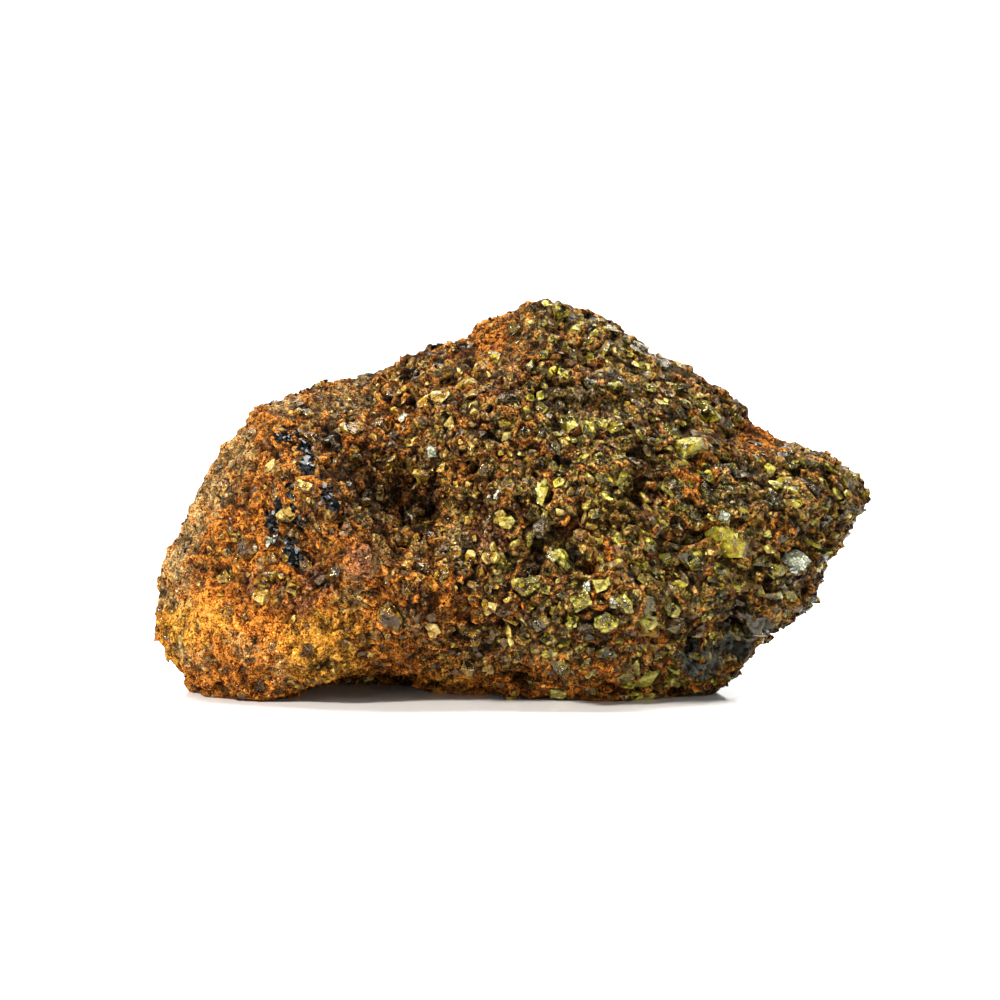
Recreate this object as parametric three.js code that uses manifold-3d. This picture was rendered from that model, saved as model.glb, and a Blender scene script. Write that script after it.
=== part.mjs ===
// A pallasite meteorite: one weathered stone of olivine crystals grown into a rusted network of nickel-iron.
// Millimetres, +Z up, +X along the stone's length, its best face towards -Y.
// The origin is on the plane that the stone rests on, below the middle of the stone.
import * as THREE from "three";
import { ConvexGeometry } from "three/addons/geometries/ConvexGeometry.js";
import { ImprovedNoise } from "three/addons/math/ImprovedNoise.js";
import { mergeVertices } from "three/addons/utils/BufferGeometryUtils.js";
import Module from "manifold-3d";

const wasm = await Module();
wasm.setup();

// Driving dimensions
const LENGTH = 179;
const DEPTH = 106;
const HEIGHT = 97;
const FRONT_DEPTH = 47; // before the forms and the relief, and the same for the back
const BACK_DEPTH = 46;
const HEART = new THREE.Vector3(-1.9, 0, 41.6); // every outline point can be seen from here
const ROUNDNESS = 2.3; // 2 is an ellipsoid, and more is boxier
const LEAN = 9; // how much further back than the heart the top is, and how much further forward the foot
const SIGHT_TILT = THREE.MathUtils.degToRad(5); // front places are measured looking down this much
const RIGHT_TAPER = { from: 22, to: 90, share: 0.35 }; // share of its depth that the stone loses to each tip
const LEFT_TAPER = { from: 45, to: 90, share: 0.2 };
// Away from the outline, its corners are evened out over three such steps to each side.
const SOFTENING = THREE.MathUtils.degToRad(8);

// The skin's facets, relief and crystals
const SKIN_DETAIL = 14;
const FACES_FINER = new THREE.Vector3(1.1, 1.5, 1); // draws the skin's facets towards the front and the back
const COARSE_RELIEF = { wave: 29, height: 2.8 };
const MIDDLE_RELIEF = { wave: 12, height: 2.1 };
const FINE_RELIEF = { wave: 5.1, height: 1.1 };
const NOISE_SHIFT = 7.3; // keeps the noise lattice off the stone's own planes
const SCATTERED_CRYSTALS = 52;
const SCATTERED_PITS = 12;
const SMALLEST_CRYSTAL = 2.2;
const LARGEST_CRYSTAL = 4.1;
const CRYSTAL_SUNK = 0.42; // share of a crystal's radius that its middle lies under the skin
const SEED = 11;
const FULL_TURN = 2 * Math.PI;
const SLIVER = 0.04; // edges shorter than this are merged after the joins and cuts

// The stone's outline from the front, [x, z], from the left tip over the peak to the right tip and back.
const OUTLINE = [
  [-89.5, 16],
  [-86, 25.5],
  [-85.5, 32.5],
  [-81, 40.5],
  [-78.5, 46.5],
  [-77.5, 54],
  [-68, 61],
  [-61, 69],
  [-51.5, 74],
  [-40, 74.5],
  [-34, 77.5],
  [-22, 81],
  [-8, 88.5],
  [-0.5, 91.5],
  [7.5, 95.5],
  [15.5, 94.5],
  [26, 85.5],
  [36.5, 80],
  [45.5, 76],
  [55.5, 65],
  [68.5, 59],
  [81, 53.5],
  [87.5, 50.5],
  [90, 46.5],
  [88.5, 43],
  [82, 37.5],
  [79.5, 30],
  [72, 22],
  [63, 14],
  [54, 7],
  [46, 2],
  [38, -1.5],
  [20, -1.5],
  [-2, -1],
  [-13, 1.5],
  [-24, 6],
  [-38, 7.5],
  [-47, 5],
  [-55, 0],
  [-62, -1],
  [-76, -1],
  [-82, 2],
  [-87.5, 8],
];

// Broad forms of the front face: [x, height as seen, radius, how far it stands out], hollows negative.
const FRONT_FORMS = [
  [-64, 22, 24, 8], // left lobe
  [-57, 62, 10, 3], // ridge with the black crystals, from its upper end
  [-50, 55, 9, 6],
  [-45, 48, 9, 7],
  [-41, 40, 9, 5], // lower end of the ridge
  [-31, 66, 11, -4], // valley that leads down to the hollow
  [-27, 57, 12, -7],
  [-24, 48, 11, -8],
  [-20.5, 40, 12, -13], // hollow
  [-36, 30, 9, 4], // ledge under the hollow
  [-26, 22, 12, 7],
  [-14, 25, 9, 3],
  [-9, 60, 11, 4], // shoulder above the hollow
  [-3, 46, 11, 3],
  [24, 48, 26, 4], // main face
  [10, 10, 16, 5], // foot of the main face
  [30, 24, 13, 3],
  [51, 15, 7, -7], // cavity near the right foot
  [51, 36, 9, 2], // flat patch
  [68, 44, 12, 3], // swell before the right tip
];
// Broad forms of the back face, in the same way.
const BACK_FORMS = [
  [-48, 40, 20, 6],
  [-10, 55, 22, -5],
  [30, 30, 24, 7],
  [55, 52, 16, -4],
  [4, 16, 18, 5],
];
// Old fracture planes that flatten the stone: [normal, distance from the heart].
const FRACTURES = [
  [[0.1, 0.75, 0.65], 47], // back, above
  [[0.78, 0.62, 0.05], 66], // back, right
  [[-0.62, 0.78, 0.05], 60], // back, left
  [[0.05, 0.6, -0.8], 47], // back, below
  [[0.73, -0.36, -0.58], 66], // flank under the right tip
  [[0.46, -0.05, -0.89], 54], // sweep up to it from the right foot
  [[-0.3, -0.5, 0.81], 50], // slope above the left lobe
  [[0.42, -0.45, 0.79], 47], // slope to the right of the peak
  [[-0.8, -0.55, 0.2], 76], // left end
].map(([normal, distance]) => ({ normal: new THREE.Vector3(...normal).normalize(), distance }));
const FRACTURE_BITE = 0.8; // share of what stands past a fracture plane that is missing
// The underside comes down in a third foot behind the arch between the two front ones: [x, y, radius, drop].
const BACK_FOOT = [-34, 20, 30, 18];

// Large olivine crystals that stand out on the front face: [x, height as seen, radius].
const CRYSTALS = [
  [12.5, 33, 3.9],
  [21, 26.5, 2.5],
  [3, 25.5, 3.4],
  [-17, 28.5, 2.3],
  [27, 22.5, 2.6],
  [22, 17.5, 2.8],
  [-25.5, 25, 2.9],
  [-29, 19, 4.3],
  [-5.5, 33, 2.3],
  [-2, 31.5, 2.8],
  [-21, 52.5, 3.2],
  [7, 48, 3],
  [-2, 41.5, 2.9],
  [9, 39, 3],
  [-10.5, 6, 2.8],
  [-11.5, 74.5, 3.3],
  [-2.5, 65, 2.9],
  [-15, 65.5, 2.6],
  [12, 93, 2.6],
  [19, 81.5, 2.1],
  [12, 55, 3],
  [43, 59.5, 3.7],
  [39, 63, 2.8],
  [47.5, 69, 3],
  [34, 74, 2.2],
  [58, 54.5, 3.1],
  [69, 55, 2.4],
  [52, 43.5, 2.2],
  [69.5, 32.5, 3.5],
  [30, 30, 2.5],
  [33.5, 35, 2.4],
  [32, 17.5, 3.2],
  [39, 20.5, 2.8],
  [39, 4.5, 2.3],
  [-68, 38, 2.5],
  [-65, 35, 3.2],
  [-70, 28, 2.8],
  [-61, 23.5, 3],
  [-53, 25, 2.3],
  [-54.5, 43, 3],
  [-50, 49.5, 2.7],
  [-38, 56, 2.5],
  [-35.5, 47, 2.7],
  [12, 6, 3],
];
// Sockets that crystals have fallen out of, in the same way.
const SOCKETS = [
  [-10, 83.5, 2.4],
  [43.5, 12, 2.6],
  [39, 12.5, 2.1],
  [51.5, 17, 4.2],
  [-72.5, 29, 2.4],
  [-20.5, 43, 3.2],
  [17.5, 30, 2.2],
  [54, 63, 2.6],
  [60, 71, 2],
  [-14, 54, 2],
  [26, 41, 2.3],
];

const noise = new ImprovedNoise();

// Reads the outline as a reach from the heart for every half degree in the X-Z plane.
function outlineReach() {
  const steps = 720;
  const table = new Array(steps).fill(0);
  const curve = new THREE.SplineCurve(OUTLINE.concat([OUTLINE[0]]).map(([x, z]) => new THREE.Vector2(x, z)));
  for (const p of curve.getPoints(20 * steps)) {
    const x = p.x - HEART.x;
    const z = p.y - HEART.z;
    table[Math.round((Math.atan2(z, x) / (2 * Math.PI) + 1) * steps) % steps] = Math.hypot(x, z);
  }
  return (angle) => {
    const place = (angle / (2 * Math.PI) + 2) * steps;
    const before = Math.floor(place);
    return THREE.MathUtils.lerp(table[before % steps], table[(before + 1) % steps], place - before);
  };
}
const reachAt = outlineReach();

// The height that a form adds at a distance of (across, up) from its middle.
function swell(across, up, radius, height) {
  return height * Math.exp(-(across ** 2 + up ** 2) / (2 * (radius * 0.6) ** 2));
}

// How far forward, or back, the broad forms move a skin point.
function formDepth(forms, x, seen) {
  return forms.reduce((sum, [fx, fz, radius, height]) => sum + swell(x - fx, seen - fz, radius, height), 0);
}

function relief(p, { wave, height }) {
  const at = (v) => v / wave + NOISE_SHIFT;
  return height * noise.noise(at(p.x), at(p.y), at(p.z)) * 2;
}

// The outline's reach, evened out over the neighbouring angles by a share.
function softReach(angle, share) {
  const sharp = reachAt(angle);
  const steps = [-3, -2, -1, 0, 1, 2, 3];
  const even = steps.reduce((sum, k) => sum + reachAt(angle + k * SOFTENING), 0) / steps.length;
  return THREE.MathUtils.lerp(sharp, even, share);
}

// The share of its depth that the stone keeps at x.
function taper(x) {
  const right = RIGHT_TAPER.share * THREE.MathUtils.smoothstep(x, RIGHT_TAPER.from, RIGHT_TAPER.to);
  const left = LEFT_TAPER.share * THREE.MathUtils.smoothstep(-x, LEFT_TAPER.from, LEFT_TAPER.to);
  return 1 - right - left;
}

// Draws a point that stands past a fracture plane back towards it, by a share.
function fracture(p, share) {
  for (const { normal, distance } of FRACTURES) {
    const past = p.clone().sub(HEART).dot(normal) - distance;
    if (past > 0) p.addScaledVector(normal, -past * share * FRACTURE_BITE);
  }
}

// The skin point in a direction from the heart. The direction's angle in the X-Z plane picks the outline's
// reach, and its turn towards -Y or +Y blows the outline up into the front and back faces.
function skin(direction) {
  const flat = Math.hypot(direction.x, direction.z);
  const turn = Math.abs(direction.y);
  const round = Math.pow(flat ** ROUNDNESS + turn ** ROUNDNESS, 1 / ROUNDNESS);
  const front = direction.y < 0;
  const angle = Math.atan2(direction.z, direction.x);
  const bulge = turn / round;
  const soft = softReach(angle, bulge ** 2);
  const reach = (Math.min(soft, reachAt(angle)) * flat) / round;
  const p = new THREE.Vector3();
  p.x = HEART.x + (reach * direction.x) / Math.max(flat, 1e-9);
  p.z = HEART.z + (reach * direction.z) / Math.max(flat, 1e-9);
  p.y = Math.sign(direction.y) * (front ? FRONT_DEPTH : BACK_DEPTH) * taper(p.x) * bulge;
  p.y += (LEAN * (p.z - HEART.z)) / HEART.z;
  const seen = p.z + p.y * Math.sin(SIGHT_TILT);
  const forms = front ? formDepth(FRONT_FORMS, p.x, seen) : formDepth(BACK_FORMS, p.x, p.z);
  p.y += Math.sign(direction.y) * forms * Math.min(1, 2.5 * bulge);
  fracture(p, Math.min(1, 2 * bulge));
  const [footX, footY, footRadius, drop] = BACK_FOOT;
  if (direction.z < 0) p.z -= swell(p.x - footX, p.y - footY, footRadius, drop) * -direction.z;
  const lift = relief(p, COARSE_RELIEF) + relief(p, MIDDLE_RELIEF) + relief(p, FINE_RELIEF);
  return p.add(p.clone().sub(HEART).normalize().multiplyScalar(lift));
}

// The outward normal of the skin in a direction, from two small steps to the side.
function skinNormal(direction) {
  const step = 0.02;
  const side = new THREE.Vector3(0, 0, 1).cross(direction);
  if (side.lengthSq() < 1e-6) side.set(1, 0, 0);
  side.normalize();
  const up = direction.clone().cross(side);
  const here = skin(direction);
  const across = skin(direction.clone().addScaledVector(side, step).normalize()).sub(here);
  const above = skin(direction.clone().addScaledVector(up, step).normalize()).sub(here);
  return across.cross(above).normalize();
}

// The direction from the heart to the place on the front face that is seen at (x, seen).
function towards(x, seen) {
  let z = seen;
  const direction = new THREE.Vector3();
  for (let i = 0; i < 8; i++) {
    const dx = x - HEART.x;
    const dz = z - HEART.z;
    const share = Math.min(0.995, Math.hypot(dx, dz) / reachAt(Math.atan2(dz, dx)));
    const angle = Math.atan2(dz, dx);
    const turn = Math.pow(1 - share ** ROUNDNESS, 1 / ROUNDNESS);
    direction.set(share * Math.cos(angle), -turn, share * Math.sin(angle)).normalize();
    const p = skin(direction);
    z += seen - (p.z + p.y * Math.sin(SIGHT_TILT));
  }
  return direction;
}

// A closed geometry as a solid, with its shared vertices merged.
function solid(geometry) {
  geometry.deleteAttribute("normal");
  geometry.deleteAttribute("uv");
  const merged = mergeVertices(geometry, 1e-4);
  const mesh = new wasm.Mesh({
    numProp: 3,
    vertProperties: merged.attributes.position.array,
    triVerts: new Uint32Array(merged.index.array),
  });
  return new wasm.Manifold(mesh);
}

function random(low = 0, high = 1) {
  return THREE.MathUtils.mapLinear(THREE.MathUtils.seededRandom(), 0, 1, low, high);
}

// Blocky crystal: the fourteen flat faces of a cube with its corners cut to the middle of its edges.
function blockyCrystal() {
  const corners = [];
  for (const a of [-1, 1])
    for (const b of [-1, 1]) {
      corners.push(new THREE.Vector3(a, b, 0), new THREE.Vector3(a, 0, b), new THREE.Vector3(0, a, b));
    }
  return new ConvexGeometry(corners.map((c) => c.multiplyScalar(0.75)));
}

// Prismatic crystal: a six-sided column with a low pyramid at each end.
function prismCrystal() {
  const corners = [new THREE.Vector3(0, 0, 1.2), new THREE.Vector3(0, 0, -1.2)];
  for (let i = 0; i < 6; i++) {
    const angle = (i * Math.PI) / 3;
    const side = new THREE.Vector3(Math.cos(angle), Math.sin(angle), 0).multiplyScalar(0.9);
    for (const z of [-0.7, 0.7]) corners.push(side.clone().setZ(z));
  }
  return new ConvexGeometry(corners);
}

// One crystal of the given radius, turned at random, its middle under the skin by a share of its radius.
function crystalAt(direction, radius, sunk) {
  const geometry = random() < 0.65 ? blockyCrystal() : prismCrystal();
  const place = skin(direction).addScaledVector(skinNormal(direction), -sunk * radius);
  const angles = new THREE.Euler(random(0, FULL_TURN), random(0, FULL_TURN), random(0, FULL_TURN));
  const turn = new THREE.Quaternion().setFromEuler(angles);
  const size = new THREE.Vector3(random(0.85, 1.15), random(0.85, 1.2), random(0.8, 1.1));
  return solid(geometry.applyMatrix4(new THREE.Matrix4().compose(place, turn, size.multiplyScalar(radius))));
}

// Directions spread evenly over the whole stone on a golden spiral.
function spread(count) {
  const golden = Math.PI * (3 - Math.sqrt(5));
  return Array.from({ length: count }, (_, i) => {
    const y = 1 - (2 * (i + 0.5)) / count;
    const ring = Math.sqrt(1 - y * y);
    return new THREE.Vector3(Math.cos(i * golden) * ring, y, Math.sin(i * golden) * ring);
  });
}

// The bare skin as a closed solid.
function body() {
  const geometry = new THREE.IcosahedronGeometry(1, SKIN_DETAIL);
  const position = geometry.attributes.position;
  const direction = new THREE.Vector3();
  for (let i = 0; i < position.count; i++) {
    direction.fromBufferAttribute(position, i);
    direction.multiply(FACES_FINER).normalize();
    position.setXYZ(i, ...skin(direction));
  }
  return solid(geometry);
}

function crystals() {
  const named = CRYSTALS.map(([x, seen, radius]) => crystalAt(towards(x, seen), radius, CRYSTAL_SUNK));
  const others = spread(SCATTERED_CRYSTALS).map((direction) =>
    crystalAt(direction, random(SMALLEST_CRYSTAL, LARGEST_CRYSTAL), CRYSTAL_SUNK),
  );
  return wasm.Manifold.union([...named, ...others]);
}

function sockets() {
  const named = SOCKETS.map(([x, seen, radius]) => crystalAt(towards(x, seen), radius, 0));
  const turned = new THREE.Quaternion().setFromEuler(new THREE.Euler(0.4, 1.1, 0.7));
  const others = spread(SCATTERED_PITS).map((direction) =>
    crystalAt(direction.applyQuaternion(turned), random(SMALLEST_CRYSTAL, LARGEST_CRYSTAL), 0),
  );
  return wasm.Manifold.union([...named, ...others]);
}

// Everything above the resting plane.
function aboveGround() {
  const box = new THREE.BoxGeometry(2 * LENGTH, 2 * LENGTH, 2 * HEIGHT);
  return solid(box.translate(0, 0, HEIGHT));
}

// A solid as a mesh geometry.
function geometryOf(made) {
  const { vertProperties, triVerts, numProp } = made.getMesh();
  const geometry = new THREE.BufferGeometry();
  const position = [];
  for (let i = 0; i < vertProperties.length; i += numProp) {
    position.push(...vertProperties.subarray(i, i + 3));
  }
  geometry.setAttribute("position", new THREE.Float32BufferAttribute(position, 3));
  geometry.setIndex(new THREE.BufferAttribute(triVerts, 1));
  return geometry;
}

// A solid moved to the middle of X and Y, and brought to the stone's exact length, depth and height.
function fitted(made) {
  const { min, max } = made.boundingBox();
  const size = max.map((m, i) => m - min[i]);
  const centred = made.translate([-(min[0] + max[0]) / 2, -(min[1] + max[1]) / 2, -min[2]]);
  return centred.scale([LENGTH / size[0], DEPTH / size[1], HEIGHT / size[2]]);
}

THREE.MathUtils.seededRandom(SEED);
const stone = fitted(body().subtract(sockets()).add(crystals()).intersect(aboveGround())).simplify(SLIVER);

const rustedIron = new THREE.MeshStandardMaterial({ color: 0x7a4a22, roughness: 0.75, metalness: 0.15 });
const meteorite = new THREE.Mesh(geometryOf(stone), rustedIron);
meteorite.name = "meteorite";

const part = new THREE.Group();
part.add(meteorite);
export default part;
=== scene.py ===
import math

import bpy
import numpy as np
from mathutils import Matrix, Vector, bvhtree, kdtree, noise


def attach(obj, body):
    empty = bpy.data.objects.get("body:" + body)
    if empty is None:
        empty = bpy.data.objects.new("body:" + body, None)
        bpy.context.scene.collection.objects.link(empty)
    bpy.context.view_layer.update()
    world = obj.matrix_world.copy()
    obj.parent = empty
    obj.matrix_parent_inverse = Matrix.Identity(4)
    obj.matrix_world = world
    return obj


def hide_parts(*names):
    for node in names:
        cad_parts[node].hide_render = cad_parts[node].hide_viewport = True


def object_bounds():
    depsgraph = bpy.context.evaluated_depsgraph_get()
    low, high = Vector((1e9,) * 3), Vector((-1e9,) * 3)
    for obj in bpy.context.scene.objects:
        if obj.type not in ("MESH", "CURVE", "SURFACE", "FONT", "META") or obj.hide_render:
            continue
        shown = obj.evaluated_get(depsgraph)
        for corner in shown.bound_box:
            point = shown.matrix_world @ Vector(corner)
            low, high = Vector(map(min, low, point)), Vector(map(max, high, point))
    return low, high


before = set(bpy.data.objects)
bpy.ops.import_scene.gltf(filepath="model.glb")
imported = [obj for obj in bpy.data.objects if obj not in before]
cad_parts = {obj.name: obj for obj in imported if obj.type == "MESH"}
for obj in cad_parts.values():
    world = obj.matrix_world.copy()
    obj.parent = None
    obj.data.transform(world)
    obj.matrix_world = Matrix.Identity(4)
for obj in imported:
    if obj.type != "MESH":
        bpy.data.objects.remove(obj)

# A pallasite meteorite: olivine crystals of many sizes in a rusted iron network.
# Everything is in metres. +X runs along the stone, its best face looks towards -Y, and it rests on z = 0.
CAD_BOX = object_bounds()
MM = 0.001
SEED = 20

# The view: a long lens, a little above the stone
VIEW_TILT = math.radians(5)
VIEW_DISTANCE = 1.3
VIEW_WIDTH = 0.250  # what the frame is wide at the stone
SENSOR = 36
MIDDLE_X = -3.1 * MM  # what lies at the middle of the frame
MIDDLE_SEEN = 46.6 * MM
SEEN_UP = Vector((0, math.sin(VIEW_TILT), math.cos(VIEW_TILT)))
SEEN_ALONG = Vector((0, math.cos(VIEW_TILT), -math.sin(VIEW_TILT)))

# The rusted body
VOXEL = 0.56 * MM
SMOOTH_STEPS = 12
BODY_TRIANGLES = 190000
BROAD_RELIEF = 0.8 * MM
CREVICE_DEPTH = 1.9 * MM
WEB_HEIGHT = 0.9 * MM
RIM_DEPTH = 0.6 * MM  # of the gap around each crystal
MIDDLE_RELIEF = 0.5 * MM
HOLLOW_IN_CRUST = 0.8 * MM
HOLLOW_WHERE_BARE = 1.5 * MM
PIT_DEPTH = 1.1  # as a share of its radius
UNDER_CRYSTALS = 0.15  # how far the body is lowered under a crystal, as a share of its radius
REST_BAND = 2.0 * MM  # the relief fades out over this height above the floor
GREENER = (-30 * MM, 30 * MM)  # along the stone, the crystals turn from amber to green
BACK = (10 * MM, 26 * MM)  # across the stone, the patches of the best face fade out
FLOW_TILT = math.radians(-24)  # how crystals lie on the right
FLOW = np.array([math.cos(FLOW_TILT), 0, math.sin(FLOW_TILT)])
FLOWING = (10 * MM, 34 * MM)  # along the stone, they begin to lie that way

# What is scattered: its kind, smallest and largest radius in mm, how many, how far apart they keep
GRAIN_SIZES = [
    ("large", 2.2, 3.1, 260, 1.08),
    ("middle", 1.35, 2.1, 1250, 1.12),
    ("small", 0.8, 1.25, 1000, 1.2),
    ("rust", 0.3, 0.65, 2600, 1.2),
]
WALL_CHANCES = {"named": 0.5, "large": 0.5, "middle": 0.3, "pit": 1.5}  # walls for each crystal

# Crystals that stand out on the best face: x, height as seen and radius in mm, tone from 0 (dark) to 1
LANDMARKS = [
    (12.5, 33, 3.9, 0.86),
    (21, 26.5, 2.4, 0.74),
    (3, 25.5, 3.2, 0.8),
    (-17, 28.5, 2.2, 0.55),
    (14, 17.8, 2.2, 0.5),
    (27, 22.5, 2.5, 0.6),
    (22, 17.5, 2.8, 0.66),
    (-25.5, 25, 2.8, 0.52),
    (-29, 19, 4.2, 0.3),
    (-10.5, 31.5, 2, 0.6),
    (-5.5, 33, 2.2, 0.62),
    (-2, 31.5, 2.7, 0.7),
    (-21, 52.5, 3.1, 0.56),
    (-17, 51, 1.6, 0.6),
    (7, 48, 3, 0.82),
    (-2, 41.5, 2.8, 0.78),
    (25.5, 37.5, 2, 0.42),
    (20, 43, 1.9, 0.5),
    (9, 39, 3, 0.3),
    (-10.5, 6, 2.6, 0.45),
    (12, 6, 2.8, 0.42),
    (-11.5, 74.5, 3.4, 0.72),
    (-2.5, 65, 2.8, 0.84),
    (-15, 65.5, 2.4, 0.76),
    (-7, 77, 2, 0.64),
    (12, 93, 2.4, 0.62),
    (19, 81.5, 2, 0.78),
    (20, 87, 1.9, 0.82),
    (25, 74.5, 2, 0.6),
    (12, 55, 2.8, 0.5),
    (-29, 56, 2.2, 0.46),
    (25, 64, 2, 0.58),
    (43, 59.5, 3.8, 0.74),
    (39, 63, 2.6, 0.6),
    (47.5, 69, 2.6, 0.52),
    (34, 74, 2, 0.68),
    (58, 54.5, 3, 0.5),
    (69, 55, 2.3, 0.58),
    (62, 38, 1.6, 0.8),
    (30, 30, 2.2, 0.56),
    (33.5, 35, 2.3, 0.4),
    (32, 17.5, 3, 0.88),
    (39, 20.5, 2.5, 0.45),
    (54.5, 26, 1.7, 0.75),
    (55, 20, 3.6, 0.06),
    (59.5, 16, 3, 0.1),
    (50.5, 16.5, 2.6, 0.06),
    (39, 4.5, 2.2, 0.48),
    (-68, 38, 2.1, 0.66),
    (-65, 35, 3, 0.16),
    (-70, 28, 2.7, 0.56),
    (-61, 23.5, 3, 0.7),
    (-53, 25, 2, 0.55),
    (-60, 27.5, 2.6, 0.4),
    (-54.5, 43, 2.7, 0.72),
    (-50, 49.5, 2.4, 0.62),
    (-38, 56, 2, 0.54),
    (-35.5, 47, 2.3, 0.5),
    (-32.5, 49, 1.9, 0.6),
    (-59.5, 54.5, 2.2, 0.8),
    (-33, 37, 2.4, 0.74),
]
PAINTED_GLOW = 0.09  # these are cleaner than the others and that much brighter, a painted glow of the light that passes through them
# Pale crystals with a silvery shine, in the same way
PALE_ONES = [
    (68.5, 32.5, 3.2, 0.3),
    (51.5, 43, 1.9, 0.8),
    (-4.5, 47.5, 2, 0.6),
    (-19.5, 58, 2.2, 0.7),
    (-26.5, 67, 1.5, 0.9),
    (13.5, 94, 1.5, 0.8),
    (17.5, 26, 1.5, 0.9),
    (-59, 37, 1.4, 0.6),
    (24, 21, 1.6, 0.8),
]
# Where the small black crystals sit along the ridge of the left lobe: x, height as seen, spread
BLACK_CLUSTERS = [
    (-56.6, 62.2, 1.6),
    (-53.1, 61.9, 1.8),
    (-50.6, 58.9, 1.6),
    (-49.6, 56.6, 1.4),
    (-49.2, 54, 1.5),
    (-45.6, 50.2, 1.2),
    (-44.4, 47.4, 1.2),
    (-43, 45.2, 1.2),
    (-53.1, 48.9, 1.1),
    (-52.4, 44.2, 1.2),
    (-50.6, 41.7, 1.3),
    (-56.9, 45.4, 1.1),
    (-58.4, 42.6, 1.3),
    (-58.6, 39.9, 1.5),
    (-53.9, 35.4, 1.6),
    (-52.4, 33, 1.8),
    (-59.1, 71, 1.1),
    (-54.4, 72.6, 0.9),
]
BLACK_IN_CLUSTER = 18
BLACK_RADII = (0.5, 1.1)  # in mm
BLACK_SPREAD = 0.55  # as a share of the cluster's
# Where rust crust hides most crystals on the best face: x, height as seen, radius, share
CRUSTS = [
    (-74, 16, 24, 1.0),
    (-60, 12, 20, 1.0),
    (-64, 34, 18, 0.85),
    (-78, 44, 16, 0.95),
    (-66, 60, 18, 0.72),
    (-86, 30, 12, 0.95),
    (-45, 16, 14, 1.0),
    (-36, 29, 9, 0.95),
    (-28, 8, 9, 0.7),
    (-46, 53, 9, 0.6),
    (-40, 66, 12, 0.5),
    (-4, 86, 11, 0.5),
    (-14, 24, 7, 0.6),
    (42, 50, 5, 0.6),
    (61, 62, 6, 0.6),
    (20, 0, 9, 0.5),
    (-10, -1, 9, 0.6),
    (48, 6, 6, 0.5),
]
# Patches of bright orange rust, in the same way
ORANGE = [
    (-66, 60, 10, 0.6),
    (-62, 46, 8, 0.8),
    (-47, 34, 9, 0.8),
    (-40, 18, 14, 0.9),
    (-70, 10, 18, 0.6),
    (-36, 62, 6, 0.8),
    (-28, 66, 5, 0.6),
    (-24, 22, 6, 0.6),
    (14, 40, 4, 0.9),
    (62, 63, 6, 0.9),
    (46, 55, 4, 0.8),
    (40, 70, 4, 0.5),
    (5, 1, 10, 0.8),
    (25, 1, 10, 0.8),
    (-15, 0, 8, 0.8),
    (40, 2, 6, 0.6),
    (-12, 20, 6, 0.6),
    (-8, 88, 8, 0.6),
    (22, 33, 5, 0.6),
    (35, 13, 5, 0.7),
    (66, 36, 6, 0.5),
    (20, 25, 4, 0.9),
    (28, 12, 4, 0.8),
    (-1, 21, 4, 0.8),
    (33, 7, 5, 0.8),
    (47, 17, 3, 0.9),
    (-33, 26, 4, 0.9),
    (-19, 27, 5, 0.8),
]
# Yellow ochre, in the same way
OCHRE = [
    (-82, 16, 8, 0.9),
    (-72, 18, 5, 0.8),
    (-84, 7, 4, 0.8),
    (-70, 66, 4, 0.6),
    (-46, 10, 12, 0.9),
    (-60, 30, 6, 0.4),
    (-40, 22, 5, 0.7),
    (-54, 40, 5, 0.5),
    (-16, 3, 8, 0.6),
]
# Tan and grey-green dust
DUSTY = [
    (-84, 30, 7, 0.8),
    (-85, 22, 5, 0.7),
    (-81, 42, 8, 0.9),
    (-76, 51, 9, 1.0),
    (-69, 59, 8, 0.9),
    (-38, 24, 6, 0.6),
    (-58, 53, 6, 0.5),
    (-66, 12, 6, 0.6),
    (-80, 8, 6, 0.5),
    (-56, 6, 7, 0.6),
    (-48, 40, 4, 0.5),
    (-33, 32, 5, 0.6),
    (-40, 70, 8, 0.7),
    (-20, 60, 8, 0.6),
    (-4, 70, 8, 0.5),
    (-70, 66, 6, 0.8),
    (-58, 72, 5, 0.8),
    (-14, 38, 5, 0.8),
    (-26, 18, 5, 0.6),
    (30, 6, 7, 0.5),
    (55, 12, 5, 0.4),
]
# Pinkish brown rust
PINK = [
    (-6, 37, 7, 0.8),
    (-1, 74, 6, 0.7),
    (-17, 49, 5, 0.6),
    (-36, 32, 5, 1.0),
    (-62, 26, 5, 0.7),
    (-52, 22, 5, 0.7),
    (-72, 50, 5, 0.5),
    (10, 26, 5, 0.6),
    (20, 76, 6, 0.5),
    (-48, 27, 6, 0.7),
]
# Darker stretches: painted shade in the valley beside the ridge and in hollows, and in part darker rust
DARK_AND_SHADED = [
    (-45, 61, 5, 0.9),
    (-39, 54, 6, 0.9),
    (-32, 48, 7, 0.8),
    (-23, 44.5, 6, 0.9),
    (-55, 36, 7, 0.7),
    (55, 18, 7, 0.8),
    (46, 9, 9, 0.25),
    (19, 15, 7, 0.6),
    (-10, 8, 9, 0.45),
    (5, 30, 5, 0.7),
    (12, 71, 8, 0.6),
    (37, 66, 7, 0.6),
    (-11, 83, 3, 1.0),
    (-26, 78, 3, 0.9),
    (72, 26, 8, 0.6),
    (28, 50, 6, 0.5),
    (10, 84, 12, 0.35),
    (28, 74, 12, 0.38),
    (45, 62, 10, 0.33),
    (62, 52, 10, 0.33),
    (-43, 28, 3, 0.8),
    (-24, 21, 3, 0.6),
    (0, 60, 12, 0.3),
]
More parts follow.
